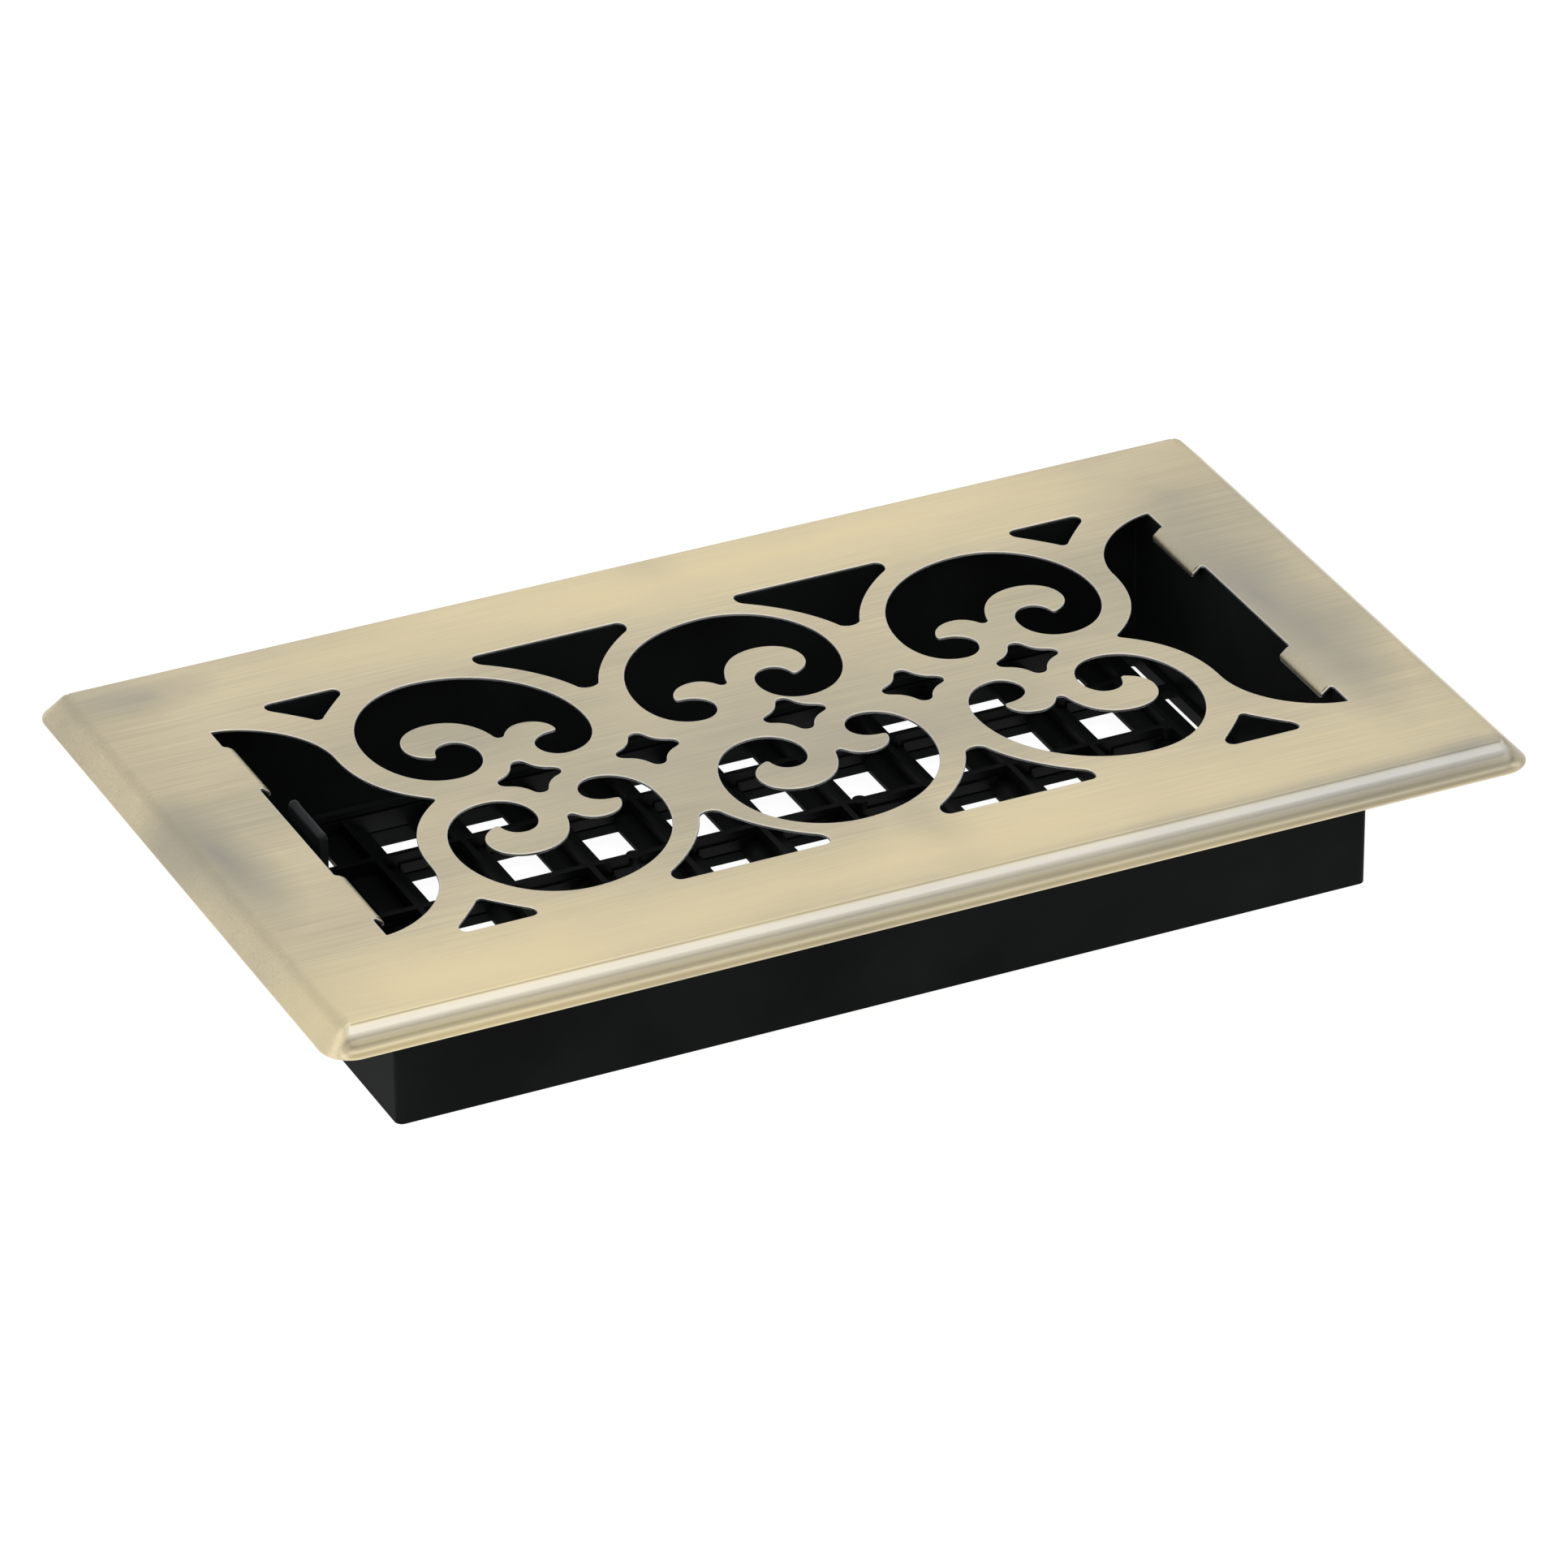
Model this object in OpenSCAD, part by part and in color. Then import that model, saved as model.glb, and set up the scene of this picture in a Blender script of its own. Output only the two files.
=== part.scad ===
// Scroll floor register for a nominal 4 x 8 inch duct: a pierced sheet-metal faceplate over
// a moulded damper box, whose slotted floor is opened and shut by a sliding grid.
// Frame: origin at the middle of the box's underside, +X along the length, +Z up to the face.

/* [Faceplate] */
// Length of the faceplate
face_l = 239.8; // [236:0.1:246]
// Width of the faceplate
face_w = 139.5; // [136:0.1:144]
// Thickness of the sheet
sheet = 0.6; // [0.5:0.1:0.9]
// Width of the moulded rim around the flat face, seen from above
rim_run = 5.5; // [5:0.1:6]
// Drop from the flat face to the rim's lower edge
rim_drop = 4.9; // [4.6:0.1:5.4]
// Radius of the faceplate's corners, seen from above
corner_r = 6; // [5.6:0.1:8]
// Distance from the middle to the straight edge of an end opening
pierced_x = 96.5; // [95.5:0.1:96.6]
// Distance from the middle to the straight edge of the side triangles
pierced_y = 45.4; // [45:0.1:45.8]
// Distance from the middle to each outer scroll pair
scroll_pitch = 51; // [50.8:0.1:51.2]
// Sideways shift of the two middle scrolls, one each way
scroll_shift = 2.8; // [2.6:0.1:3]

/* [Retaining lips] */
// Outer radius of the lips that curl down over the box
lip_r = 2.4; // [1.8:0.1:2.6]
// Distance from the middle to the near end of a lip
lip_from = 17.3; // [16:0.1:18]
// Length of a lip
lip_len = 16.7; // [15:0.1:17]

/* [Damper box] */
// Overall height, from the box's underside to the flat face
overall_h = 36; // [35:0.5:38]
// Length of the box at its foot
box_l = 195.8; // [195.4:0.1:196.2]
// Width of the box at its foot
box_w = 92.7; // [92.3:0.1:93.1]
// Thickness of the box's walls
wall = 1.2; // [1:0.1:1.3]
// Radius of the box's upright edges
box_r = 1.5; // [1.5:0.1:3]
// Height of the fixed floor's underside above the foot
floor_z = 2.1; // [1.6:0.1:2.2]
// Thickness of the fixed floor
floor_t = 1.8; // [1.4:0.1:1.8]

/* [Damper slide] */
// Distance from one cross rib to the next
pitch_x = 17.25; // [17.2:0.01:17.3]
// Distance from one long rib to the next
pitch_y = 19.3; // [19.2:0.1:19.4]
// Width of a cross rib
rib_t = 1.2; // [1:0.1:1.4]
// Width of a long rib
rail_t = 1.3; // [1.1:0.1:1.5]
// Thickness of the slide's slats
slat_t = 1.0; // [0.8:0.1:1.1]
// Height of the rib tops above the foot
rib_top = 8.1; // [7.6:0.1:8.4]
// Travel from open to shut
travel = 9.4; // [6:0.1:9.4]

/* [Lever] */
// Width of the lever's finger tab
lever_w = 14.6; // [14:0.1:18]
// Distance of the lever's middle from the long centre line
lever_y = 4.2; // [0:0.1:5]
// Distance of the lever from the middle of the part
lever_x = -92.6; // [-92.8:0.1:-92]
// Thickness of the lever's upright
lever_t = 1.6; // [1.4:0.1:1.8]
// Diameter of the bead along the lever's top
lever_bead = 1.9; // [1.7:0.1:2.1]

/* [Hidden] */
$fn = 48;
face_under = overall_h - sheet;
inner_l = box_l - 2 * wall;
inner_w = box_w - 2 * wall;
// The floor's windows stop this far short of the walls
floor_edge = 1;
floor_top = floor_z + floor_t;
// The slide rides this far clear of the fixed floor, and of the walls
clearance = 0.35;
slide_z = floor_top + clearance;
slat_top = slide_z + slat_t;
// The cross ribs stand at whole pitches either side of the middle
first_rib = -5;
last_rib = 5;
// The long ribs stand half a pitch and one and a half pitches from the middle
rails = [-1.5, -0.5, 0.5, 1.5];
// How far a slat reaches to the left and to the right of its cross rib
slat_left = 4.3;
slat_right = 4.35;
// How far the slope on a slat's left edge runs
slat_slope = 1.75;
// The fixed bars sit a little to the right of the open slats
bar_left = 3.3;
bar_right = 5.3;
// The left edge of the first slat after the lever's end, from its rib
lead_slat_left = 5.7;
// The slide's two ends, with room for its travel at the right-hand one
slide_left = -inner_l / 2 + clearance;
slide_right = inner_l / 2 - clearance - travel;
// The thin flanges along the slide's long edges
flange_t = 0.6;
flange_top = 8;
slide_y = inner_w / 2 - clearance;
// The long ribs are thicker below this height where no slat meets them
rail_step = 6.25;
rail_foot = rail_t + 1;
// The hold-down ridges that keep the slide's flanges down
ridge_in = 0.65;
ridge_h = 1.3;
// The long ribs stop short of the lever's seat
rail_start = -90.4;
// The lever's foot and the pegs under it
foot_l = 5.4;
foot_t = 1.2;
peg_r = 1.5;
peg_gap = 4.5;
// The ball at the far end of the lever's bead
ball_r = 1.1;

// Points along one cubic curve from a to d, without d itself
function cubic(a, b, c, d, n) = [for (i = [0 : n - 1]) let (t = i / n, s = 1 - t)
    s * s * s * a + 3 * s * s * t * b + 3 * s * t * t * c + t * t * t * d];

// A closed outline from a ring of end points, each followed by its two handles
function outline(p, n = 8) = [for (k = [0 : 3 : len(p) - 1])
    each cubic(p[k], p[k + 1], p[k + 2], p[(k + 3) % len(p)], n)];

// One scroll opening: the ring's inside, with the two curls left standing in it.
// It is drawn for the upper side, with the large curl to the left of the axis.
module scroll_opening(ring_y = 40.8) {
    ring = [
        [-5.2, ring_y], [8, ring_y], [18.8, 30],
        [18.8, 16.5], [18.8, 9.5], [15.2, 5.1],
        [10.3, 5.1], [8, 5.1], [6.1, 7.1],
        [6.1, 9.5], [6.1, 11.8], [8.2, 13.6]
    ];
    small_curl = [
        [11.2, 13.6], [11.8, 13.6], [12.1, 14],
        [12, 14.6], [11.6, 17], [9.6, 18.7],
        [6.8, 18.7], [4.8, 18.7], [3.3, 17.4],
        [2.5, 16], [2.1, 15.1], [1, 15.1]
    ];
    large_curl = [
        [0.6, 16], [-0.6, 22.4], [-4.6, 25.4],
        [-9.2, 25.4], [-13.5, 25.4], [-16.4, 22.6],
        [-16.4, 18.9], [-16.4, 16.3], [-14.6, 14.6],
        [-12.6, 13.8], [-12.2, 13.7], [-11.9, 13.9],
        [-11.8, 14.4], [-11.4, 16.5], [-10.2, 17.7]
    ];
    ring_again = [
        [-8.2, 17.7], [-5.9, 17.7], [-4.1, 15.4],
        [-4.1, 12.4], [-4.1, 8.2], [-7.1, 5.1],
        [-11.2, 5.1], [-18.4, 5.1], [-23.2, 12.4],
        [-23.2, 21], [-23.2, 32], [-15.2, ring_y]
    ];
    polygon(outline(concat(ring, small_curl, large_curl, ring_again)));
}

// A four-pointed opening with hollow sides and round points, about its middle
module diamond() {
    tip = 6.2;
    round_r = 1.3;
    quarter = [
        [tip, 0], [tip, 0.9], [5.6, 1.3],
        [4.9, 1.6], [3.4, 2.2], [2.2, 3.4],
        [1.6, 4.9], [1.3, 5.6], [0.9, tip]
    ];
    polygon(outline([for (a = [0 : 90 : 270]) each [for (q = quarter)
        [q[0] * cos(a) - q[1] * sin(a), q[0] * sin(a) + q[1] * cos(a)]]], 5));
}

// A side triangle about its own axis: its point is below and its straight edge above.
// flank is the right-hand side's lower end, its two handles and its upper end.
module side_triangle(flank, corner_w) {
    low = flank[0];
    high = flank[3];
    mirrored = function(p) [-p[0], p[1]];
    right = [
        low, flank[1], flank[2],
        high, [corner_w + 0.2, high[1] + 1], [corner_w + 0.2, pierced_y],
        [corner_w - 1.7, pierced_y], [corner_w / 2, pierced_y], [-corner_w / 2, pierced_y]
    ];
    left = [
        [1.7 - corner_w, pierced_y], [-corner_w - 0.2, pierced_y], [-corner_w - 0.2, high[1] + 1],
        mirrored(high), mirrored(flank[2]), mirrored(flank[1]),
        mirrored(low), [-low[0] * 0.5, low[1] - 1.2], [low[0] * 0.5, low[1] - 1.2]
    ];
    polygon(outline(concat(right, left)));
}

// The opening at the right-hand end, from its straight edge to its point
module end_opening() {
    top = [
        [pierced_x, 40.2], [90, 39.8], [79.7, 32.5],
        [79.7, 21.5], [79.7, 15.5], [78.3, 7.2],
        [70, 0.9], [69.2, 0.3], [69.2, -0.3]
    ];
    bottom = [
        [70, -0.9], [78.3, -7.2], [79.7, -15.5],
        [79.7, -21.5], [79.7, -32.5], [90, -39.8],
        [pierced_x, -40.2], [pierced_x, -20], [pierced_x, 20]
    ];
    polygon(outline(concat(top, bottom), 12));
}

// All the openings of the faceplate
module piercing() {
    for (side = [-1, 1]) {
        // the outer scroll pairs, each mirrored about both centre lines
        for (end = [-1, 1])
            scale_xy(-end, side) translate([-scroll_pitch, 0]) scroll_opening();
        // the middle scrolls, the upper one turned the other way
        scale_xy(-side, side) translate([scroll_shift, 0]) scroll_opening(40);
        for (end = [-1, 1]) scale_xy(end, side) {
            translate([76.6, 0])
                side_triangle([[1.2, 36.7], [2.9, 38.6], [4.8, 40.6], [6.7, 42.4]], 7.6);
            translate([26.8, 0])
                side_triangle([[2, 26.2], [4.5, 32.5], [9.5, 38], [14.6, 41.6]], 15.7);
        }
        scale_xy(side, 1) end_opening();
    }
    for (x = [-50.6, -27, 2.8, 27, 50.6]) translate([x, 0]) diamond();
}

// Mirrors its children about Y where sx is -1, and about X where sy is -1
module scale_xy(sx, sy) {
    mirror([sx < 0 ? 1 : 0, 0]) mirror([0, sy < 0 ? 1 : 0]) children();
}

module rounded_rect(l, w, r) {
    for (x = [-1, 1], y = [-1, 1]) translate([x * (l / 2 - r), y * (w / 2 - r)]) circle(r);
    square([l - 2 * r, w], center = true);
    square([l, w - 2 * r], center = true);
}

// The rim's section, with X outwards from the crease and Y up to the flat face. A long side
// has a bead and a hollow below it, and a short side a soft shoulder and a plain slope.
module rim_section(beaded) {
    x = rim_run;
    y = -rim_drop;
    crease = [[-1, 0], [0, 0], [0.35, -0.12], [0.6, -0.4]];
    bead = [for (a = [95 : -8.5 : 10]) [2.2 * cos(a) + 0.8, 2.2 * sin(a) - 3.05]];
    hollow = cubic([3, y + 2.2], [3.2, y + 0.8], [3.8, y + 0.4], [x - 0.1, y + 0.35], 9);
    under_bead = [
        [x - 1.2, y], [2.6, y + 0.7], [2, -2.8],
        [1.2, -1.7], [0, -1.1], [-0.3, -sheet], [-1, -sheet]
    ];
    shoulder = [[-1, 0], [0, 0], [0.7, -0.05], [1.3, -0.25], [1.8, -0.65]];
    under_slope = [[x - 1.2, y], [2.2, -2.9], [1, -1.2], [0.4, -sheet], [-1, -sheet]];
    if (beaded)
        polygon(concat(crease, bead, hollow, [[x, y + 0.35], [x, y]], under_bead));
    else
        polygon(concat(shoulder, [[x - 0.1, y + 0.3], [x, y + 0.15], [x, y]], under_slope));
}

// One straight side of the rim, cut off at 45 degrees at both ends
module rim_side(length, width, beaded) {
    intersection() {
        translate([0, width / 2 - rim_run, overall_h]) rotate([90, 0, 90])
            linear_extrude(length, center = true) rim_section(beaded);
        linear_extrude(overall_h + 1) polygon([[0, width / 2 - length / 2],
            [length / 2, width / 2], [length / 2, width / 2 + 1], [-length / 2, width / 2 + 1],
            [-length / 2, width / 2]]);
    }
}

// A lip that curls down from the straight edge of the right-hand end opening
module lip() {
    translate([pierced_x, lip_from + lip_len, overall_h - lip_r]) rotate([90, 0, 0])
        linear_extrude(lip_len) difference() {
            intersection() {
                circle(lip_r);
                translate([-lip_r, 0]) square(lip_r);
            }
            circle(lip_r - sheet);
        }
}

module faceplate() {
    color("darkkhaki") {
        translate([0, 0, face_under]) linear_extrude(sheet) difference() {
            square([face_l - 2 * rim_run, face_w - 2 * rim_run], center = true);
            piercing();
        }
        intersection() {
            for (turn = [0, 180]) rotate(turn) {
                rim_side(face_l, face_w, true);
                rotate(90) rim_side(face_w, face_l, false);
            }
            linear_extrude(overall_h + 1) rounded_rect(face_l, face_w, corner_r);
        }
        for (sx = [-1, 1], sy = [-1, 1])
            mirror([sx < 0 ? 1 : 0, 0, 0]) mirror([0, sy < 0 ? 1 : 0, 0]) lip();
    }
}

// The fixed floor: cross bars and long bars inside a narrow border, in plan
module floor_plan() {
    window_x = inner_l / 2 - floor_edge;
    window_y = inner_w / 2 - floor_edge;
    difference() {
        square([inner_l + 0.4, inner_w + 0.4], center = true);
        square([2 * window_x, 2 * window_y], center = true);
    }
    for (k = [first_rib : last_rib]) {
        left = k == first_rib ? -window_x - 0.2 : k * pitch_x - bar_left;
        right = k == last_rib ? 92.8 : k * pitch_x + bar_right;
        translate([left, -window_y - 0.2]) square([right - left, 2 * window_y + 0.4]);
    }
    for (k = rails) translate([0, k * pitch_y]) square([inner_l, rail_foot + 0.4], center = true);
    // the first gap is closed except next to the long walls
    translate([-window_x, -1.5 * pitch_y])
        square([window_x + (first_rib + 1) * pitch_x - bar_left + 0.2, 3 * pitch_y]);
}

// A ridge along the inside of a long wall, over the slide's flange
module hold_down_ridge() {
    translate([0, inner_w / 2, flange_top + clearance]) rotate([90, 0, 90])
        linear_extrude(inner_l - 2, center = true)
            polygon([[0.2, 0], [-ridge_in, 0], [-ridge_in, ridge_h], [0.2, ridge_h + 0.6]]);
}

module damper_box() {
    color("#1b1c1c") {
        linear_extrude(face_under) difference() {
            rounded_rect(box_l, box_w, box_r);
            rounded_rect(inner_l, inner_w, 0.5);
        }
        translate([0, 0, floor_z]) linear_extrude(floor_t) floor_plan();
        for (turn = [0, 180]) rotate(turn) hold_down_ridge();
    }
}

// A slat between the slide's long edges, with a slope along its left edge
module slat(left, right, slope) {
    translate([0, slide_y, slide_z]) rotate([90, 0, 0]) linear_extrude(2 * slide_y)
        polygon([[left, 0], [right, 0], [right, slat_t], [left + slope, slat_t]]);
}

module damper_slide() {
    pad_r = 1.45;
    color("#222323") difference() {
        union() {
            for (k = [first_rib : last_rib]) {
                x = k * pitch_x;
                left = k == first_rib ? slide_left
                    : k == first_rib + 1 ? x - lead_slat_left : x - slat_left;
                right = k == last_rib ? slide_right : x + slat_right;
                slat(left, right, k <= first_rib + 1 ? 0 : slat_slope);
                translate([x - rib_t / 2, -slide_y, slide_z])
                    cube([rib_t, 2 * slide_y, rib_top - slide_z]);
            }
            for (k = rails) {
                translate([rail_start, k * pitch_y - rail_t / 2, slide_z])
                    cube([slide_right - rail_start, rail_t, rib_top - slide_z]);
                translate([rail_start, k * pitch_y - rail_foot / 2, slide_z])
                    rail_feet();
            }
            for (side = [-slide_y, slide_y - flange_t]) translate([slide_left, side, slide_z])
                cube([slide_right - slide_left, flange_t, flange_top - slide_z]);
            // round ejector pads on the rib tops
            for (p = [[-25.6, -0.5], [-25.6, 0.5], [20.8, -0.5], [20.8, 0.5]])
                translate([p[0], p[1] * pitch_y, slat_top]) cylinder(rib_top - slat_top, r = pad_r);
            for (k = rails) translate([last_rib * pitch_x - 1, k * pitch_y, slat_top])
                cylinder(rib_top - slat_top, r = pad_r);
        }
        for (dy = [-peg_gap, peg_gap]) translate([lever_x, lever_y + dy, slide_z - 1])
            cylinder(slat_t + 2, r = peg_r);
    }
}

// The thicker foot of a long rib, in each gap between two slats
module rail_feet() {
    for (k = [first_rib : last_rib - 1]) {
        from = k * pitch_x + slat_right - rail_start;
        to = (k + 1) * pitch_x - (k == first_rib ? lead_slat_left : slat_left - slat_slope)
            - rail_start;
        translate([from, 0, 0]) cube([to - from, rail_foot, rail_step - slide_z]);
    }
}

module damper_lever() {
    half = lever_w / 2;
    bead_r = lever_bead / 2;
    bead_z = overall_h - ball_r;
    color("#2b2c2d") translate([lever_x, lever_y, 0]) {
        // foot on the slide, with two pegs pressed into it
        translate([-foot_l / 2 + 0.4, -half, slat_top]) cube([foot_l, lever_w, foot_t]);
        for (dy = [-peg_gap, peg_gap]) translate([0, dy, slide_z])
            cylinder(slat_t + 0.5, r = peg_r);
        translate([-lever_t / 2, -half, slat_top]) cube([lever_t, lever_w, bead_z - slat_top]);
        // bead along the top, with a ball at its far end
        translate([0, half - ball_r, bead_z]) rotate([90, 0, 0])
            cylinder(lever_w - ball_r - bead_r, r = bead_r);
        translate([0, half - ball_r, bead_z]) sphere(ball_r);
        translate([0, bead_r - half, bead_z]) sphere(bead_r);
    }
}

faceplate();
damper_box();
damper_slide();
damper_lever();
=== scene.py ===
import math

import bmesh
import bpy
import numpy as np
from mathutils import Matrix, Vector
from mathutils.geometry import delaunay_2d_cdt


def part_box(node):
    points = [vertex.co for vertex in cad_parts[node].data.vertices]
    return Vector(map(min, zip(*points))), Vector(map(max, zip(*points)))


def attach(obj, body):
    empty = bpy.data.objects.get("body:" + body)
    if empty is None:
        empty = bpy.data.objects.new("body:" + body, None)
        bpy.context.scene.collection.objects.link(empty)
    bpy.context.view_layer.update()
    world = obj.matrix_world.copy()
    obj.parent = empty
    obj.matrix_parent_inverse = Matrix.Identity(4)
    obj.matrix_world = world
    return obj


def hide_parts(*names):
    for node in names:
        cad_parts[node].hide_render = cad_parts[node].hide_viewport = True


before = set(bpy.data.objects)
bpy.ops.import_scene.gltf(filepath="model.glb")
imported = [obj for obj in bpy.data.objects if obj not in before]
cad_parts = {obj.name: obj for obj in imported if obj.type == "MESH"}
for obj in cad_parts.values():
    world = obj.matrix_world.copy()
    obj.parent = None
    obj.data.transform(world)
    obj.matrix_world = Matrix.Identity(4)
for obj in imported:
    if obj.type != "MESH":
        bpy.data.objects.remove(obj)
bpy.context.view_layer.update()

# The looks of a scroll floor register, in the CAD frame. Plan sizes are in millimetres
# and become metres where a mesh is made.
MM = 0.001
FACE_LOW, FACE_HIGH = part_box("faceplate")
FACE_L = (FACE_HIGH.x - FACE_LOW.x) / MM
FACE_W = (FACE_HIGH.y - FACE_LOW.y) / MM
TOP = FACE_HIGH.z / MM

# Faceplate
SHEET = 0.6
RIM_RUN = 5.5
RIM_DROP = 4.9
CORNER_R = 6.0
PIERCED_X = 96.5
PIERCED_Y = 45.4
SCROLL_PITCH = 51.0
SCROLL_SHIFT = 2.8
DIAMONDS = (-50.6, -27.0, 2.8, 27.0, 50.6)

# How finely the faceplate is drawn: along curves, round the plate's corners and a lip's,
# and along the rim's sides. Edges that bend by more than SHARP_DEG degrees stay sharp.
SPACING = 0.6
CORNER_STEPS = 18
LIP_CORNER_STEPS = 5
SIDE_STEPS = 24
SHARP_DEG = 38

# Edges that the punch leaves: a roll-over on top, then a bare wall with a bevel at its foot
ROLL_WIDTH = 0.38
ROLL_DROP = 0.2
ROLL_STEPS = 3
ROLL_WEAR = 0.6
WALL_START = 0.02
FOOT_BEVEL = 0.08
# A flat ring round each roll-over, and the room between it and the lines across the lips
GUARD = 0.06
FOLD_ROOM = 0.05

# Lips that curl down from the straight edge of each end opening
LIP_R = 2.4
LIP_FROM = 17.3
LIP_TO = 34.0
LIP_NEUTRAL = LIP_R - SHEET / 2
LIP_REACH = LIP_NEUTRAL * math.pi / 2
LIP_CORNER = 1.0
LIP_ROOT = 0.7
LIP_LINES = 9

# Soft patches on the face: duller ones, partly the finish's smoky tarnish and partly painted shade,
# and brighter, warmer ones that are painted highlights: (x, y, half length, half width, strength)
TARNISH_AND_SHADE_PATCHES = [(0, -6, 112, 40, 0.5), (101, -4, 13, 62, 1.0), (-113, -5, 10, 32, 1.0),
                (-104, 57, 17, 8, 0.85), (8, -52, 8, 20, 0.6), (2, 62, 8, 15, 0.5),
                (95, -66, 110, 4, 1.0)]
# The warmer, brighter patches are painted highlights: reflections painted into the brass colour.
PAINTED_HIGHLIGHT_PATCHES = [(-86, -57, 78, 17, 1.0), (0, -57, 140, 15, 0.8), (20, 57, 150, 16, 0.9)]

# How far the wander noise pushes the patches' edges about, as a share of their size
RAGGED = 0.9

# The sky's brightness from in front of the object, at 0, to behind it, at 1
SKY_STOPS = [(0.0, 0.20), (0.022, 0.30), (0.075, 0.80), (0.5, 0.90), (1.0, 0.94)]
FLOOR_HALF = 4000
FLOOR_GAP = 0.05

# The camera at the photo's angle, in degrees and millimetres
AZIMUTH, ELEVATION, ROLL = 25.466, 29.977, -0.193
DISTANCE = 1856.25
AIM = (-10.26, -22.78, TOP)
LENS = 235.02
SENSOR = 36.0

# The Mix node's sockets when it mixes colours
MIX_UNDER, MIX_OVER, MIX_RESULT = 6, 7, 2


# ---------------------------------------------------------------- plan outlines
def cubic(a, b, c, d):
    """Points along one cubic curve from a up to, but without, d."""
    a, b, c, d = (np.array(p, float) for p in (a, b, c, d))
    length = np.linalg.norm(b - a) + np.linalg.norm(c - b) + np.linalg.norm(d - c)
    n = max(3, round(length / SPACING))
    t = np.arange(n)[:, None] / n
    s = 1 - t
    return s**3 * a + 3 * s**2 * t * b + 3 * s * t**2 * c + t**3 * d


def outline(ring):
    """A closed outline from end points, each followed by its two handles."""
    parts = []
    for k in range(0, len(ring), 3):
        parts.append(cubic(ring[k], ring[k + 1], ring[k + 2], ring[(k + 3) % len(ring)]))
    return np.concatenate(parts)


def place(points, dx=0.0, sx=1, sy=1):
    """Shifts an outline along X, then mirrors it, and keeps it anticlockwise."""
    moved = (np.array(points, float) + (dx, 0)) * (sx, sy)
    x, y = moved[:, 0], moved[:, 1]
    area = np.sum(x * np.roll(y, -1) - np.roll(x, -1) * y)
    return moved if area > 0 else moved[::-1]


def scroll_opening(ring_y=40.8):
    """The inside of a ring, with its two curls left standing."""
    return outline([
        (-5.2, ring_y), (8, ring_y), (18.8, 30),
        (18.8, 16.5), (18.8, 9.5), (15.2, 5.1),
        (10.3, 5.1), (8, 5.1), (6.1, 7.1),
        (6.1, 9.5), (6.1, 11.8), (8.2, 13.6),
        (11.2, 13.6), (11.8, 13.6), (12.1, 14),
        (12, 14.6), (11.6, 17), (9.6, 18.7),
        (6.8, 18.7), (4.8, 18.7), (3.3, 17.4),
        (2.5, 16), (2.1, 15.1), (1, 15.1),
        (0.6, 16), (-0.6, 22.4), (-4.6, 25.4),
        (-9.2, 25.4), (-13.5, 25.4), (-16.4, 22.6),
        (-16.4, 18.9), (-16.4, 16.3), (-14.6, 14.6),
        (-12.6, 13.8), (-12.2, 13.7), (-11.9, 13.9),
        (-11.8, 14.4), (-11.4, 16.5), (-10.2, 17.7),
        (-8.2, 17.7), (-5.9, 17.7), (-4.1, 15.4),
        (-4.1, 12.4), (-4.1, 8.2), (-7.1, 5.1),
        (-11.2, 5.1), (-18.4, 5.1), (-23.2, 12.4),
        (-23.2, 21), (-23.2, 32), (-15.2, ring_y),
    ])


def diamond():
    """A four-pointed opening with hollow sides and round points."""
    tip = 6.2
    quarter = [(tip, 0), (tip, 0.9), (5.6, 1.3), (4.9, 1.6), (3.4, 2.2), (2.2, 3.4),
               (1.6, 4.9), (1.3, 5.6), (0.9, tip)]
    ring = []
    for c, s in ((1, 0), (0, 1), (-1, 0), (0, -1)):
        ring += [(x * c - y * s, x * s + y * c) for x, y in quarter]
    return outline(ring)


def side_triangle(flank, corner_w):
    """A triangle about its own axis, with its point below and its straight edge above."""
    low, high = flank[0], flank[3]
    right = [
        low, flank[1], flank[2],
        high, (corner_w + 0.2, high[1] + 1), (corner_w + 0.2, PIERCED_Y),
        (corner_w - 1.7, PIERCED_Y), (corner_w / 2, PIERCED_Y), (-corner_w / 2, PIERCED_Y),
    ]
    left = [
        (1.7 - corner_w, PIERCED_Y), (-corner_w - 0.2, PIERCED_Y), (-corner_w - 0.2, high[1] + 1),
        (-high[0], high[1]), (-flank[2][0], flank[2][1]), (-flank[1][0], flank[1][1]),
        (-low[0], low[1]), (-low[0] / 2, low[1] - 1.2), (low[0] / 2, low[1] - 1.2),
    ]
    return outline(right + left)


def straight(a, b):
    """Points along a straight line from a up to, but without, b."""
    a, b = np.array(a, float), np.array(b, float)
    n = max(1, round(np.linalg.norm(b - a) / (2 * SPACING)))
    return a + (b - a) * (np.arange(n)[:, None] / n)


def corner(a, b, c):
    """A round corner from a to c about the corner point b."""
    a, b, c = (np.array(p, float) for p in (a, b, c))
    t = np.arange(LIP_CORNER_STEPS)[:, None] / LIP_CORNER_STEPS
    return (1 - t) ** 2 * a + 2 * (1 - t) * t * b + t**2 * c


def lip_tab(low, high):
    """The straight edge of an end opening from low to high, round a lip laid out flat."""
    root, tip = PIERCED_X, PIERCED_X - LIP_REACH
    return [
        corner((root, low - LIP_ROOT), (root, low), (root - LIP_ROOT, low)),
        straight((root - LIP_ROOT, low), (tip + LIP_CORNER, low)),
        corner((tip + LIP_CORNER, low), (tip, low), (tip, low + LIP_CORNER)),
        straight((tip, low + LIP_CORNER), (tip, high - LIP_CORNER)),
        corner((tip, high - LIP_CORNER), (tip, high), (tip + LIP_CORNER, high)),
        straight((tip + LIP_CORNER, high), (root - LIP_ROOT, high)),
        corner((root - LIP_ROOT, high), (root, high), (root, high + LIP_ROOT)),
    ]


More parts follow.
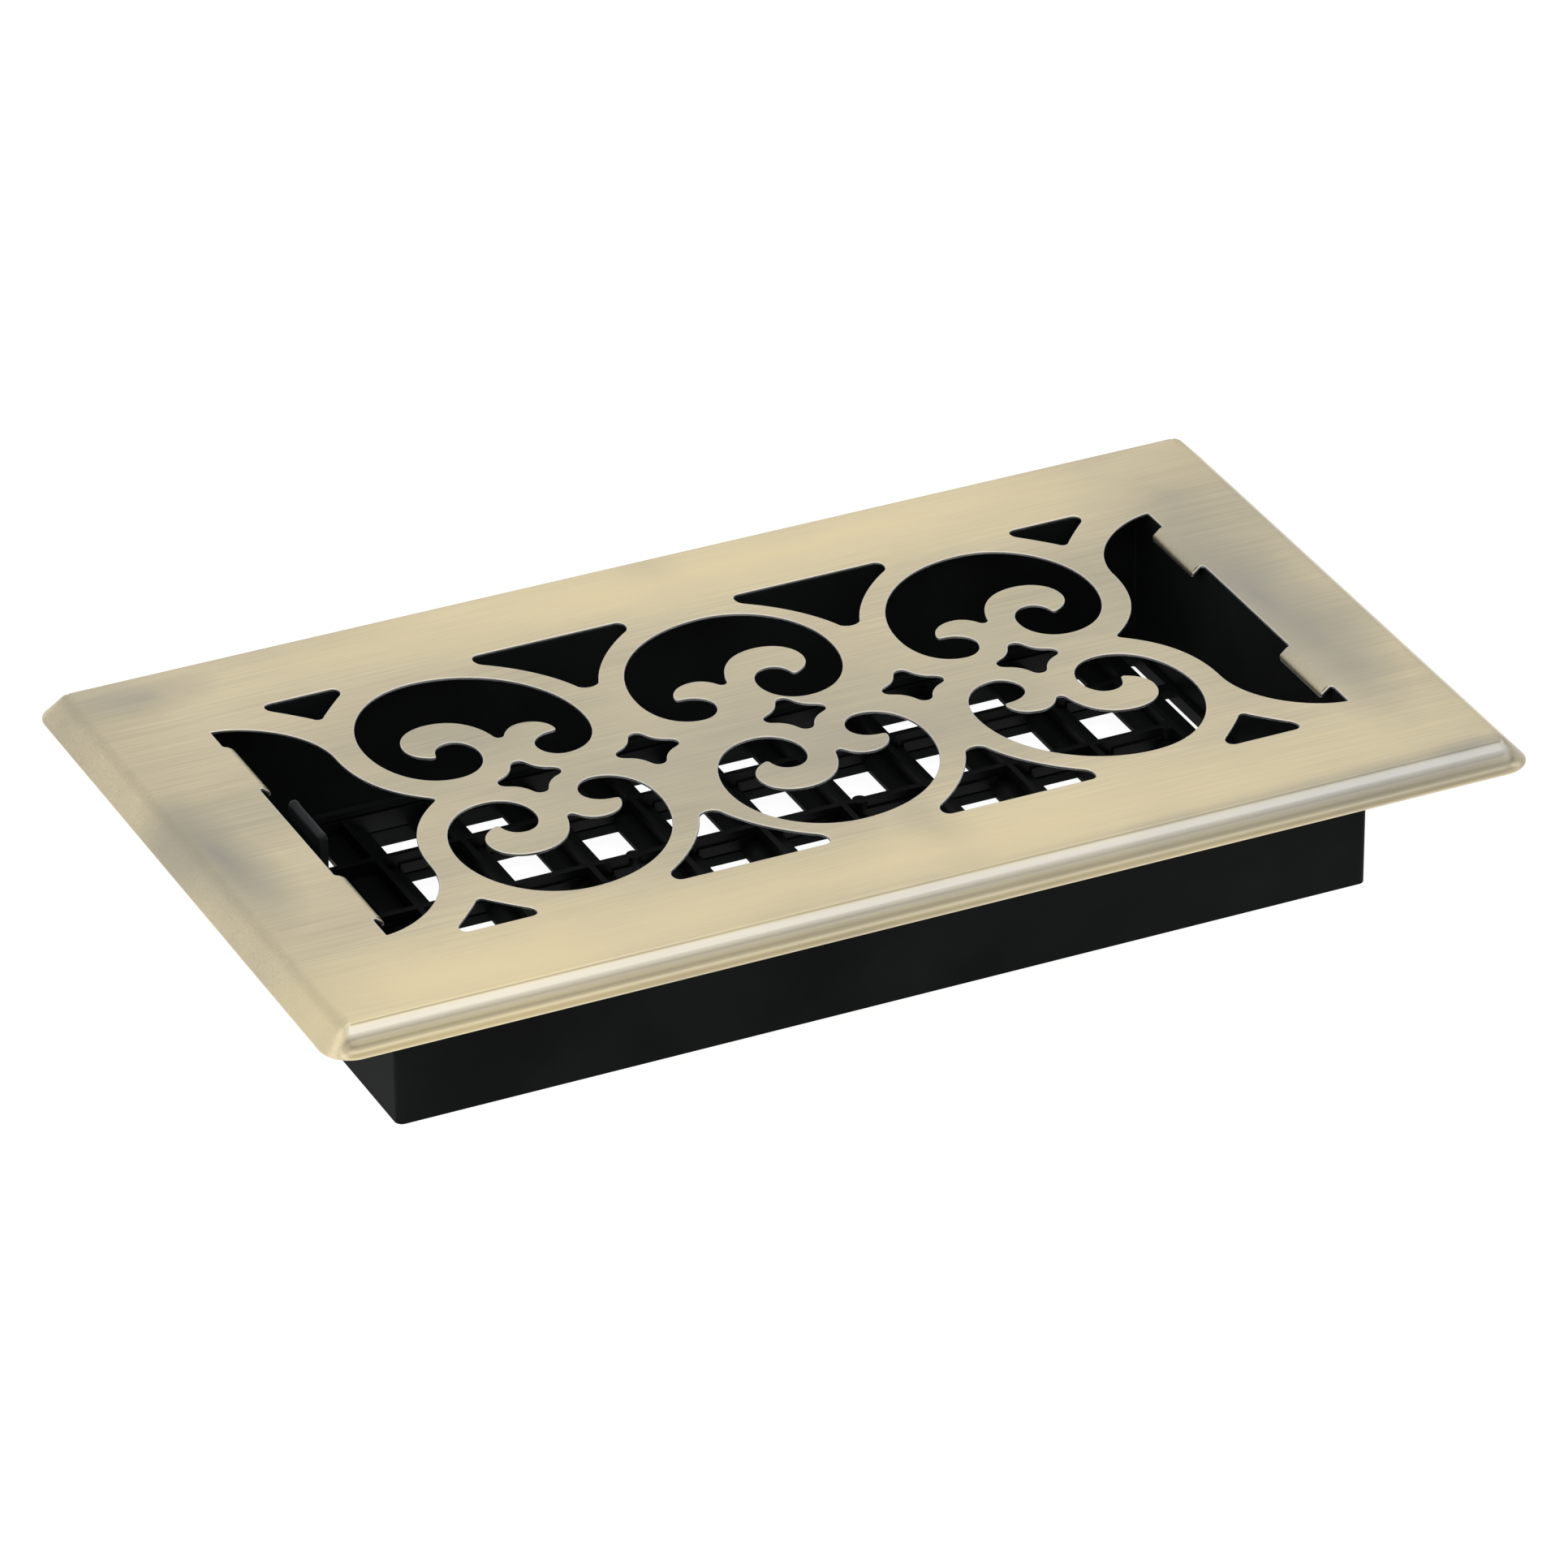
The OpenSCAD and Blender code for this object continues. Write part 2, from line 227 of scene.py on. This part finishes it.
def end_opening():
    """The opening at the right-hand end, with its two lips laid out flat."""
    tip_y = 40.2
    curved = [
        ((PIERCED_X, tip_y), (90, 39.8), (79.7, 32.5), (79.7, 21.5)),
        ((79.7, 21.5), (79.7, 15.5), (78.3, 7.2), (70, 0.9)),
        ((70, 0.9), (69.2, 0.3), (69.2, -0.3), (70, -0.9)),
        ((70, -0.9), (78.3, -7.2), (79.7, -15.5), (79.7, -21.5)),
        ((79.7, -21.5), (79.7, -32.5), (90, -39.8), (PIERCED_X, -tip_y)),
    ]
    parts = [cubic(*c) for c in curved]
    parts.append(straight((PIERCED_X, -tip_y), (PIERCED_X, -LIP_TO - LIP_ROOT)))
    parts += lip_tab(-LIP_TO, -LIP_FROM)
    parts.append(straight((PIERCED_X, -LIP_FROM + LIP_ROOT), (PIERCED_X, LIP_FROM - LIP_ROOT)))
    parts += lip_tab(LIP_FROM, LIP_TO)
    parts.append(straight((PIERCED_X, LIP_TO + LIP_ROOT), (PIERCED_X, tip_y)))
    return np.concatenate(parts)


def piercing():
    """Every opening of the faceplate as an anticlockwise outline."""
    outer, middle = scroll_opening(), scroll_opening(40.0)
    small = side_triangle([(1.2, 36.7), (2.9, 38.6), (4.8, 40.6), (6.7, 42.4)], 7.6)
    large = side_triangle([(2, 26.2), (4.5, 32.5), (9.5, 38), (14.6, 41.6)], 15.7)
    loops = []
    for side in (-1, 1):
        for end in (-1, 1):
            loops.append(place(outer, -SCROLL_PITCH, -end, side))
            loops.append(place(small, 76.6, end, side))
            loops.append(place(large, 26.8, end, side))
        loops.append(place(middle, SCROLL_SHIFT, -side, side))
        loops.append(place(end_opening(), 0, side, 1))
    return loops + [place(diamond(), x) for x in DIAMONDS]


# ---------------------------------------------------------------- faceplate mesh
def outward(points):
    """Mitred normals out of an anticlockwise loop, with its turn and spacing at each point."""
    ahead = np.roll(points, -1, 0) - points
    size = np.linalg.norm(ahead, axis=1, keepdims=True)
    side = np.stack([ahead[:, 1], -ahead[:, 0]], 1) / size
    before = np.roll(side, 1, 0)
    both = side + before
    both /= np.linalg.norm(both, axis=1, keepdims=True)
    lean = np.maximum(np.sum(both * side, axis=1, keepdims=True), 0.6)
    turn = np.arctan2(before[:, 0] * side[:, 1] - before[:, 1] * side[:, 0],
                      np.sum(before * side, axis=1))
    return both / lean, turn, (size[:, 0] + np.roll(size[:, 0], 1)) / 2


def roll_widths(turn, size):
    """Width of the roll-over at each point, less where the metal is narrow and round."""
    width = np.full(len(turn), ROLL_WIDTH)
    # the turn and the length over five points give the radius there
    bend = np.convolve(np.concatenate([turn[-2:], turn, turn[:2]]), np.ones(5), "valid")
    span = np.convolve(np.concatenate([size[-2:], size, size[:2]]), np.ones(5), "valid")
    # where the metal juts out, at most this share of its radius, then smoothed
    share = 0.6
    tight = bend < -0.2
    width[tight] = np.minimum(ROLL_WIDTH, share * span[tight] / -bend[tight])
    for _ in range(4):
        width = np.minimum(width, (np.roll(width, 1) + width + np.roll(width, -1)) / 3)
    return width[:, None]


def edge_rings(points):
    """Rings of one opening's edge from the flat face down to the underside, with their wear."""
    normal, turn, size = outward(points)
    width = roll_widths(turn, size)
    rings = [(points + normal * (width + GUARD), TOP, 0.0)]
    for k in range(ROLL_STEPS + 1):
        a = k / ROLL_STEPS * math.pi / 2
        ring = points + normal * width * (1 - math.sin(a))
        rings.append((ring, TOP - ROLL_DROP * (1 - math.cos(a)), ROLL_WEAR * k / ROLL_STEPS))
    rings.append((points, TOP - ROLL_DROP - WALL_START, 1.0))
    rings.append((points, TOP - SHEET + FOOT_BEVEL, 1.0))
    rings.append((points + normal * FOOT_BEVEL, TOP - SHEET, 0.3))
    return rings


def arc(cx, cy, rx, ry, start, end, n):
    """n points along part of an ellipse, with its angles in degrees."""
    turns = [math.radians(start + (end - start) * k / (n - 1)) for k in range(n)]
    return [(cx + rx * math.cos(a), cy + ry * math.sin(a)) for a in turns]


def evenly(points, n):
    """n points spaced evenly along a line of points."""
    points = np.array(points, float)
    run = np.concatenate([[0], np.cumsum(np.linalg.norm(np.diff(points, axis=0), axis=1))])
    at = np.linspace(0, run[-1], n)
    return [(float(np.interp(d, run, points[:, 0])), float(np.interp(d, run, points[:, 1])))
            for d in at]


def rim_profile(bead):
    """The rim's outside from the crease to its lower edge: (out, height, patina and painted shade,
    bare).
    bead is 1 on the long sides and 0 on the short ones, which are a shoulder and a slope."""
    start = [(-0.3, 0.0), (0.0, -0.02)]
    end = [(RIM_RUN, -RIM_DROP + 0.3), (RIM_RUN, -RIM_DROP + 0.1), (RIM_RUN - 0.1, -RIM_DROP)]
    shaped = [(0.55, -0.05), (0.85, -0.18), (0.98, -0.42), (1.12, -0.54), (1.45, -0.74)]
    shaped += arc(0.8, -3.05, 2.2, 2.2, 58, 10, 9)
    shaped += evenly([(3.02, -2.85), (3.12, -3.3), (3.3, -3.85), (3.6, -4.22), (4.1, -4.42),
                      (4.8, -4.52), (5.35, -4.56)], 9)
    plain = evenly([(0.2, -0.03), (0.7, -0.07), (1.0, -0.13), (1.3, -0.25), (1.55, -0.42),
                    (1.8, -0.65), (RIM_RUN - 0.12, -RIM_DROP + 0.45)], len(shaped))
    middle = [(b * bead + p * (1 - bead), zb * bead + zp * (1 - bead))
              for (b, zb), (p, zp) in zip(shaped, plain, strict=True)]
    # tone by the distance out: patina in the long sides' grooves and metal rubbed bare on the bead;
    # on the short sides, painted shade on the shoulder
    rows = []
    for out, z in start + middle + end:
        on_bead = np.interp(out, [0, 0.9, 1.2, 2.6, 3.0, 3.6, 4.6, 5.5],
                            [0, 0.12, 0.04, 0, 0.3, 0.35, 0.1, 0])
        # painted shade on the short sides' shoulder, where it turns away from the light
        slope_shade = np.interp(out, [0, 1.0, 1.8, 2.6, 5.5], [0.15, 0.3, 0.3, 0.1, 0.1])
        bare = np.interp(out, [0.9, 1.3, 2.2, 2.9, 3.1], [0, 0.4, 0.5, 0.2, 0])
        rows.append((out, z, float(on_bead * bead + slope_shade * (1 - bead)), float(bare * bead)))
    return rows


def rim_stations():
    """Places round the rim: the centre they turn about, the way out and the bead's rise."""
    cx, cy = FACE_L / 2 - CORNER_R, FACE_W / 2 - CORNER_R
    stations = []

    def risen(a):
        """The bead's rise, 0 to 1. It dies out where the long sides turn into the corners."""
        begins, takes = 0.72, 0.24
        t = min(1, max(0, (abs(math.sin(a)) - begins) / takes))
        return t * t * (3 - 2 * t)

    for (sx, sy), start, (nx, ny) in (((1, -1), -90, (1, 1)), ((1, 1), 0, (-1, 1)),
                                      ((-1, 1), 90, (-1, -1)), ((-1, -1), 180, (1, -1))):
        for k in range(CORNER_STEPS + 1):
            a = math.radians(start + 90 * k / CORNER_STEPS)
            stations.append(((sx * cx, sy * cy), (math.cos(a), math.sin(a)), risen(a)))
        begin, end = np.array((sx * cx, sy * cy)), np.array((nx * cx, ny * cy))
        for k in range(1, SIDE_STEPS):
            spot = begin + (end - begin) * k / SIDE_STEPS
            stations.append((tuple(spot), (math.cos(a), math.sin(a)), risen(a)))
    return stations


def rim_loops():
    """Loops round the rim from the crease to its lower edge and back along the underside."""
    columns = []
    for spot, out, bead in rim_stations():
        profile = np.array(rim_profile(bead))
        xz = profile[:, :2]
        along = np.gradient(xz, axis=0)
        along /= np.linalg.norm(along, axis=1, keepdims=True)
        under = xz + np.stack([along[:, 1], -along[:, 0]], 1) * SHEET
        under[:, 0] = np.maximum.accumulate(np.clip(under[:, 0], -0.3, RIM_RUN - SHEET))
        under[:, 1] = np.minimum.accumulate(np.clip(under[:, 1], -RIM_DROP, -SHEET))
        under[0] = (-0.3, -SHEET)
        chain = [tuple(row) for row in profile]
        # darker at the lower edge and along the underside
        chain += [(RIM_RUN - SHEET, -RIM_DROP, 0.3, 0.0)]
        chain += [(x, z, 0.4, 0.0) for x, z in under[-4::-1]]
        columns.append([(spot[0] + out[0] * (x - RIM_RUN + CORNER_R),
                         spot[1] + out[1] * (x - RIM_RUN + CORNER_R), TOP + z, m, w)
                        for x, z, m, w in chain])
    return [list(row) for row in zip(*columns)]


def inside(points, loop):
    """Which points lie inside a closed loop."""
    x, y = points[:, 0][:, None], points[:, 1][:, None]
    ax, ay = loop[:, 0], loop[:, 1]
    bx, by = np.roll(ax, -1), np.roll(ay, -1)
    crosses = (ay > y) != (by > y)
    rise = np.where(by == ay, 1e-9, by - ay)
    left = x < ax + (y - ay) * (bx - ax) / rise
    return (np.sum(crosses & left, axis=1) % 2) == 1


def fold_lines(inset):
    """Lines across each flat lip that let it bend smoothly, as pairs of end points."""
    lines = []
    for sx in (-1, 1):
        for sy in (-1, 1):
            for k in range(LIP_LINES):
                x = PIERCED_X - LIP_REACH * k / LIP_LINES
                trim = inset + (LIP_CORNER * 0.35 if k == LIP_LINES - 1 else 0.0)
                lines.append(((sx * x, sy * (LIP_FROM + trim)), (sx * x, sy * (LIP_TO - trim))))
    return lines


def fill(outer, holes, inset):
    """Triangles of the sheet between an outer loop and the holes: (points, triangles)."""
    loops = [np.array(outer, float)] + holes
    points, edges = [], []
    for loop in loops:
        first = len(points)
        points += [tuple(p) for p in loop]
        edges += [(first + k, first + (k + 1) % len(loop)) for k in range(len(loop))]
    for a, b in fold_lines(inset):
        edges.append((len(points), len(points) + 1))
        points += [a, b]
    merge_within = 1e-7
    found = delaunay_2d_cdt([Vector(p) for p in points], edges, [], 0, merge_within)
    where = np.array([tuple(p) for p in found[0]])
    faces = np.array(found[2])
    middle = where[faces].mean(axis=1)
    keep = inside(middle, loops[0])
    for loop in holes:
        keep &= ~inside(middle, loop)
    return where, faces[keep]


def bend_lip(x, y, z):
    """Curls a point of a flat lip down about the opening's straight edge."""
    near = 2
    past = PIERCED_X - abs(x)
    if not (0 < past < LIP_REACH + 1 and LIP_FROM - near < abs(y) < LIP_TO + near):
        return x, y, z
    angle = past / LIP_NEUTRAL
    radius = LIP_R - (TOP - z)
    curled = PIERCED_X - radius * math.sin(angle)
    return math.copysign(curled, x), y, TOP - LIP_R + radius * math.cos(angle)


class Sheet:
    """Collects the vertices, faces and the wear and painted shade values of the faceplate."""

    def __init__(self):
        self.points, self.faces, self.bare, self.patina_and_shade = [], [], [], []
        self.known = {}

    def vertex(self, x, y, z, bare=0.0, patina_and_shade=0.0):
        """The index of the vertex at a place, which is added if it is new."""
        key = (round(x, 4), round(y, 4), round(z, 4))
        if key not in self.known:
            self.known[key] = len(self.points)
            self.points.append(bend_lip(x, y, z))
            self.bare.append(bare)
            self.patina_and_shade.append(patina_and_shade)
        return self.known[key]

    def band(self, first, second):
        """Quads between two loops of vertices."""
        for k in range(len(first)):
            j = (k + 1) % len(first)
            quad = [first[k], first[j], second[j], second[k]]
            face = [v for n, v in enumerate(quad) if v not in quad[:n]]
            if len(face) > 2:
                self.faces.append(face)

    def mesh(self, name):
        """The finished mesh in metres, with its wear and painted shade as point attributes."""
        made = bpy.data.meshes.new(name)
        made.from_pydata([tuple(c * MM for c in p) for p in self.points], [], self.faces)
        for label, values in (("bare", self.bare), ("patina_and_shade", self.patina_and_shade)):
            layer = made.attributes.new(label, "FLOAT", "POINT")
            layer.data.foreach_set("value", values)
        return made


def tidy_normals(mesh, sharp_deg):
    """Makes the faces point outwards, and marks the edges that stay sharp."""
    work = bmesh.new()
    work.from_mesh(mesh)
    bmesh.ops.recalc_face_normals(work, faces=work.faces)
    limit = math.radians(sharp_deg)
    for edge in work.edges:
        edge.smooth = len(edge.link_faces) == 2 and edge.calc_face_angle(0.0) < limit
    for face in work.faces:
        face.smooth = True
    work.to_mesh(mesh)
    work.free()


def build_faceplate():
    """The pierced sheet with its rim, punched edges and lips, in place of the plain CAD one."""
    sheet = Sheet()
    top_holes, under_holes = [], []
    for loop in piercing():
        rings = edge_rings(loop)
        rows = [[sheet.vertex(x, y, z, bare) for x, y in ring] for ring, z, bare in rings]
        top_holes.append(rings[0][0])
        under_holes.append(rings[-1][0])
        for a, b in zip(rows, rows[1:]):
            sheet.band(a, b)
    loops = rim_loops()
    rows = [[sheet.vertex(x, y, z, w, m) for x, y, z, m, w in loop] for loop in loops]
    for a, b in zip(rows, rows[1:]):
        sheet.band(a, b)
    for outer, holes, z, inset in ((loops[0], top_holes, TOP, ROLL_WIDTH + GUARD + FOLD_ROOM),
                                   (loops[-1], under_holes, TOP - SHEET, FOOT_BEVEL + FOLD_ROOM)):
        where, faces = fill([(p[0], p[1]) for p in outer], holes, inset)
        index = [sheet.vertex(x, y, z) for x, y in where]
        sheet.faces += [[index[v] for v in face] for face in faces]
    piece = bpy.data.objects.new("pierced_faceplate", sheet.mesh("pierced_faceplate"))
    bpy.context.scene.collection.objects.link(piece)
    tidy_normals(piece.data, SHARP_DEG)
    return piece


# ---------------------------------------------------------------- materials
def node_helpers(tree):
    """Two helpers that add nodes to a tree and join them."""

    def add(kind, **values):
        node = tree.nodes.new(kind)
        for key, value in values.items():
            if key in node.inputs:
                node.inputs[key].default_value = value
            else:
                setattr(node, key, value)
        return node

    def join(a, out, b, into):
        tree.links.new(a.outputs[out], b.inputs[into])

    return add, join


def new_material(name):
    """A node material, its Principled shader and the two helpers for its nodes."""
    material = bpy.data.materials.new(name)
    material.use_nodes = True
    tree = material.node_tree
    return material, tree.nodes["Principled BSDF"], *node_helpers(tree)


def ramp(add, stops):
    """A colour ramp node with the given (place, colour) stops."""
    node = add("ShaderNodeValToRGB")
    band = node.color_ramp
    while len(band.elements) < len(stops):
        band.elements.new(0.5)
    for element, (place_at, colour) in zip(band.elements, stops):
        element.position = place_at
        element.color = (*colour, 1)
    return node


def grey(value):
    """A grey of the given brightness."""
    return (value, value, value)


def coat(add, join, under, factor, output, colour):
    """A node that lays a colour over the under node's, by the factor node's output."""
    mixed = add("ShaderNodeMix", data_type="RGBA")
    join(factor, output, mixed, "Factor")
    join(under, MIX_RESULT, mixed, MIX_UNDER)
    mixed.inputs[MIX_OVER].default_value = (*colour, 1)
    return mixed


def patches(add, join, place_node, wander, spots):
    """Soft patches in plan for the painted shade and painted highlight on the face, with edges made
    ragged by the wander noise.
    """
    total = None
    for x, y, half_l, half_w, strength in spots:
        near = add("ShaderNodeMapping", Scale=(1 / (half_l * MM), 1 / (half_w * MM), 0.0),
                   Location=(-x / half_l, -y / half_w, 0.0))
        join(place_node, "Object", near, "Vector")
        ragged = add("ShaderNodeVectorMath", operation="MULTIPLY_ADD")
        ragged.inputs[1].default_value = (RAGGED, RAGGED, 0.0)
        join(wander, "Color", ragged, 0)
        join(near, "Vector", ragged, 2)
        centred = add("ShaderNodeVectorMath", operation="SUBTRACT")
        centred.inputs[1].default_value = (RAGGED / 2, RAGGED / 2, 0.0)
        join(ragged, "Vector", centred, 0)
        round_patch = add("ShaderNodeTexGradient", gradient_type="SPHERICAL")
        join(centred, "Vector", round_patch, "Vector")
        weighed = add("ShaderNodeMath", operation="MULTIPLY")
        weighed.inputs[1].default_value = strength
        join(round_patch, "Fac", weighed, 0)
        if total is not None:
            both = add("ShaderNodeMath", operation="MAXIMUM")
            join(total, "Value", both, 0)
            join(weighed, "Value", both, 1)
            weighed = both
        total = weighed
    return total


def brushed_brass():
    """Antique brass plating, brushed along X, with smoky patches, patches of painted shade and
    painted highlight, patina and painted shade on the rim, and bare punched edges.
    """
    material, shader, add, join = new_material("antique_brass_brushed")
    shader.inputs["Metallic"].default_value = 1.0
    place_node = add("ShaderNodeTexCoord")

    def noise(scale, size, detail, rough):
        mapping = add("ShaderNodeMapping", Scale=scale)
        join(place_node, "Object", mapping, "Vector")
        node = add("ShaderNodeTexNoise", Scale=size, Detail=detail, Roughness=rough)
        join(mapping, "Vector", node, "Vector")
        return node

    hairline = noise((42, 2500, 2500), 1.0, 3.0, 0.6)
    stroke = noise((12, 480, 480), 1.0, 4.0, 0.65)
    smoke = noise((14, 26, 26), 1.0, 2.5, 0.45)

    tone = ramp(add, [(0.32, (0.53, 0.475, 0.345)), (0.5, (0.66, 0.58, 0.405)),
                      (0.68, (0.77, 0.67, 0.445))])
    blend = add("ShaderNodeMath", operation="MULTIPLY_ADD")
    blend.inputs[1].default_value = 0.22
    join(stroke, "Fac", blend, 0)
    share = add("ShaderNodeMath", operation="MULTIPLY")
    share.inputs[1].default_value = 0.78
    join(smoke, "Fac", share, 0)
    join(share, "Value", blend, 2)
    join(blend, "Value", tone, "Fac")

    lines = ramp(add, [(0.32, grey(0.83)), (0.68, grey(1.0))])
    join(hairline, "Fac", lines, "Fac")
    lined = add("ShaderNodeMix", data_type="RGBA", blend_type="MULTIPLY")
    lined.inputs["Factor"].default_value = 1.0
    join(tone, "Color", lined, MIX_UNDER)
    join(lines, "Color", lined, MIX_OVER)

    wander = noise((1, 1, 1), 34.0, 3.0, 0.55)
    tarnish_and_shade = patches(add, join, place_node, wander, TARNISH_AND_SHADE_PATCHES)
    painted_highlight = patches(add, join, place_node, wander, PAINTED_HIGHLIGHT_PATCHES)
    patina_and_shade = add("ShaderNodeAttribute", attribute_name="patina_and_shade")
    bare = add("ShaderNodeAttribute", attribute_name="bare")
    # a greyer tone in the duller patches: partly smoky tarnish, partly painted shade
    tarnished_and_shaded = coat(add, join, lined, tarnish_and_shade, "Value", (0.355, 0.335, 0.28))
    # painted highlight: a warmer, brighter brass in these patches
    highlighted = coat(add, join, tarnished_and_shaded, painted_highlight, "Value", (0.80, 0.68, 0.42))
    # the rim's patina in its grooves, and painted shade on the short sides' shoulder
    patinated_and_shaded = coat(add, join, highlighted, patina_and_shade, "Fac", (0.30, 0.27, 0.19))
    worn = coat(add, join, patinated_and_shaded, bare, "Fac", (0.72, 0.73, 0.74))
    join(worn, MIX_RESULT, shader, "Base Color")

    sheen = ramp(add, [(0.2, grey(0.34)), (0.8, grey(0.42))])
    join(stroke, "Fac", sheen, "Fac")
    join(sheen, "Color", shader, "Roughness")

    bump = add("ShaderNodeBump", Strength=0.22, Distance=0.00004)
    join(hairline, "Fac", bump, "Height")
    join(bump, "Normal", shader, "Normal")
    return material


def moulded_plastic(name, colour, rough, gloss=0.1):
    """Black moulded plastic with a fine spark-eroded grain and faint flow marks."""
    material, shader, add, join = new_material(name)
    shader.inputs["Specular IOR Level"].default_value = gloss
    place_node = add("ShaderNodeTexCoord")
    flow = add("ShaderNodeTexNoise", Scale=38.0, Detail=3.0, Roughness=0.5)
    join(place_node, "Object", flow, "Vector")
    fine = add("ShaderNodeTexNoise", Scale=2600.0, Detail=2.0, Roughness=0.6)
    join(place_node, "Object", fine, "Vector")
    tone = ramp(add, [(0.3, tuple(c * 0.75 for c in colour)), (0.7, tuple(c * 1.3 for c in colour))])
    join(flow, "Fac", tone, "Fac")
    join(tone, "Color", shader, "Base Color")
    satin = ramp(add, [(0.25, grey(rough - 0.06)), (0.75, grey(rough + 0.08))])
    join(flow, "Fac", satin, "Fac")
    join(satin, "Color", shader, "Roughness")
    bump = add("ShaderNodeBump", Strength=0.12, Distance=0.00003)
    join(fine, "Fac", bump, "Height")
    join(bump, "Normal", shader, "Normal")
    return material


def dress(node_name, face_material, edge_material, edge_mm):
    """Gives a CAD node its plastic and softens its edges, which are a little more polished."""
    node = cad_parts[node_name]
    node.data.materials.clear()
    node.data.materials.append(face_material)
    node.data.materials.append(edge_material)
    weld = node.modifiers.new("weld", "WELD")
    weld.merge_threshold = 0.002 * MM
    bevel = node.modifiers.new("soft_edges", "BEVEL")
    bevel.width = edge_mm * MM
    bevel.segments = 2
    bevel.limit_method = "ANGLE"
    bevel.angle_limit = math.radians(40)
    bevel.material = 1
    bevel.harden_normals = False


# ---------------------------------------------------------------- studio
def white_floor():
    """A plain white floor, a hair below the object."""
    half = FLOOR_HALF * MM
    mesh = bpy.data.meshes.new("studio_floor")
    mesh.from_pydata([(-half, -half, 0), (half, -half, 0), (half, half, 0), (-half, half, 0)],
                     [], [(0, 1, 2, 3)])
    floor = bpy.data.objects.new("studio_floor", mesh)
    floor.location.z = -FLOOR_GAP * MM
    bpy.context.scene.collection.objects.link(floor)
    material, shader = new_material("studio_white")[:2]
    shader.inputs["Base Color"].default_value = (*grey(0.2), 1)
    shader.inputs["Roughness"].default_value = 0.9
    shader.inputs["Specular IOR Level"].default_value = 0.0
    shader.inputs["Emission Color"].default_value = (*grey(1), 1)
    shader.inputs["Emission Strength"].default_value = 0.95
    mesh.materials.append(material)


def studio_sky():
    """A pale sky that is darker low down in front of the object, as seen in its beads."""
    world = bpy.data.worlds.new("studio_world")
    world.use_nodes = True
    bpy.context.scene.world = world
    add, join = node_helpers(world.node_tree)
    sky = world.node_tree.nodes["Background"]
    sky.inputs["Strength"].default_value = 1.0
    split = add("ShaderNodeSeparateXYZ")
    join(add("ShaderNodeTexCoord"), "Generated", split, "Vector")
    from_front = add("ShaderNodeMath", operation="MULTIPLY_ADD")
    from_front.inputs[1].default_value = 0.5
    from_front.inputs[2].default_value = 0.5
    join(split, "Y", from_front, 0)
    band = ramp(add, [(at, grey(value)) for at, value in SKY_STOPS])
    join(from_front, "Value", band, "Fac")
    join(band, "Color", sky, "Color")


def soft_light(name, spot, width, depth, power):
    """A rectangular light that points at the object, in metres and watts."""
    data = bpy.data.lights.new(name, "AREA")
    data.shape = "RECTANGLE"
    data.size, data.size_y, data.energy = width, depth, power
    light = bpy.data.objects.new(name, data)
    light.location = spot
    light.rotation_euler = (-Vector(spot)).to_track_quat("-Z", "Y").to_euler()
    bpy.context.scene.collection.objects.link(light)


def photo_camera():
    """The camera at the photo's angle."""
    azimuth, elevation, roll = (math.radians(a) for a in (AZIMUTH, ELEVATION, ROLL))
    forward = Vector((math.sin(azimuth) * math.cos(elevation),
                      math.cos(azimuth) * math.cos(elevation), -math.sin(elevation)))
    data = bpy.data.cameras.new("camera")
    data.sensor_width = SENSOR
    data.lens = LENS
    data.clip_start, data.clip_end = 0.1, 20
    camera = bpy.data.objects.new("camera", data)
    camera.location = Vector(AIM) * MM - forward * (DISTANCE * MM)
    level = forward.to_track_quat("-Z", "Y").to_matrix()
    camera.rotation_euler = (level @ Matrix.Rotation(roll, 3, "Z")).to_euler()
    bpy.context.scene.collection.objects.link(camera)
    bpy.context.scene.camera = camera
    bpy.context.scene.view_settings.view_transform = "Standard"


white_floor()
studio_sky()
soft_light("overhead_softbox", (0.1, -0.25, 1.5), 1.8, 1.4, 4)
soft_light("left_softbox", (-1.5, -0.2, 0.9), 1.0, 1.0, 2)
photo_camera()

faceplate = build_faceplate()
faceplate.data.materials.append(brushed_brass())
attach(faceplate, "register")
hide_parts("faceplate")

edge_plastic = moulded_plastic("black_plastic_edges", (0.012, 0.013, 0.013), 0.3, 0.35)
dress("damper_box", moulded_plastic("box_plastic_satin", (0.0085, 0.0094, 0.0092), 0.46, 0.015),
      edge_plastic, 0.2)
# The slide's black is darker than the box's: painted shade for the inside of the box.
dress("damper_slide", moulded_plastic("slide_plastic_shaded_satin", (0.005, 0.0055, 0.0055), 0.40),
      edge_plastic, 0.12)
dress("damper_lever", moulded_plastic("lever_plastic_satin", (0.016, 0.017, 0.018), 0.36),
      edge_plastic, 0.12)
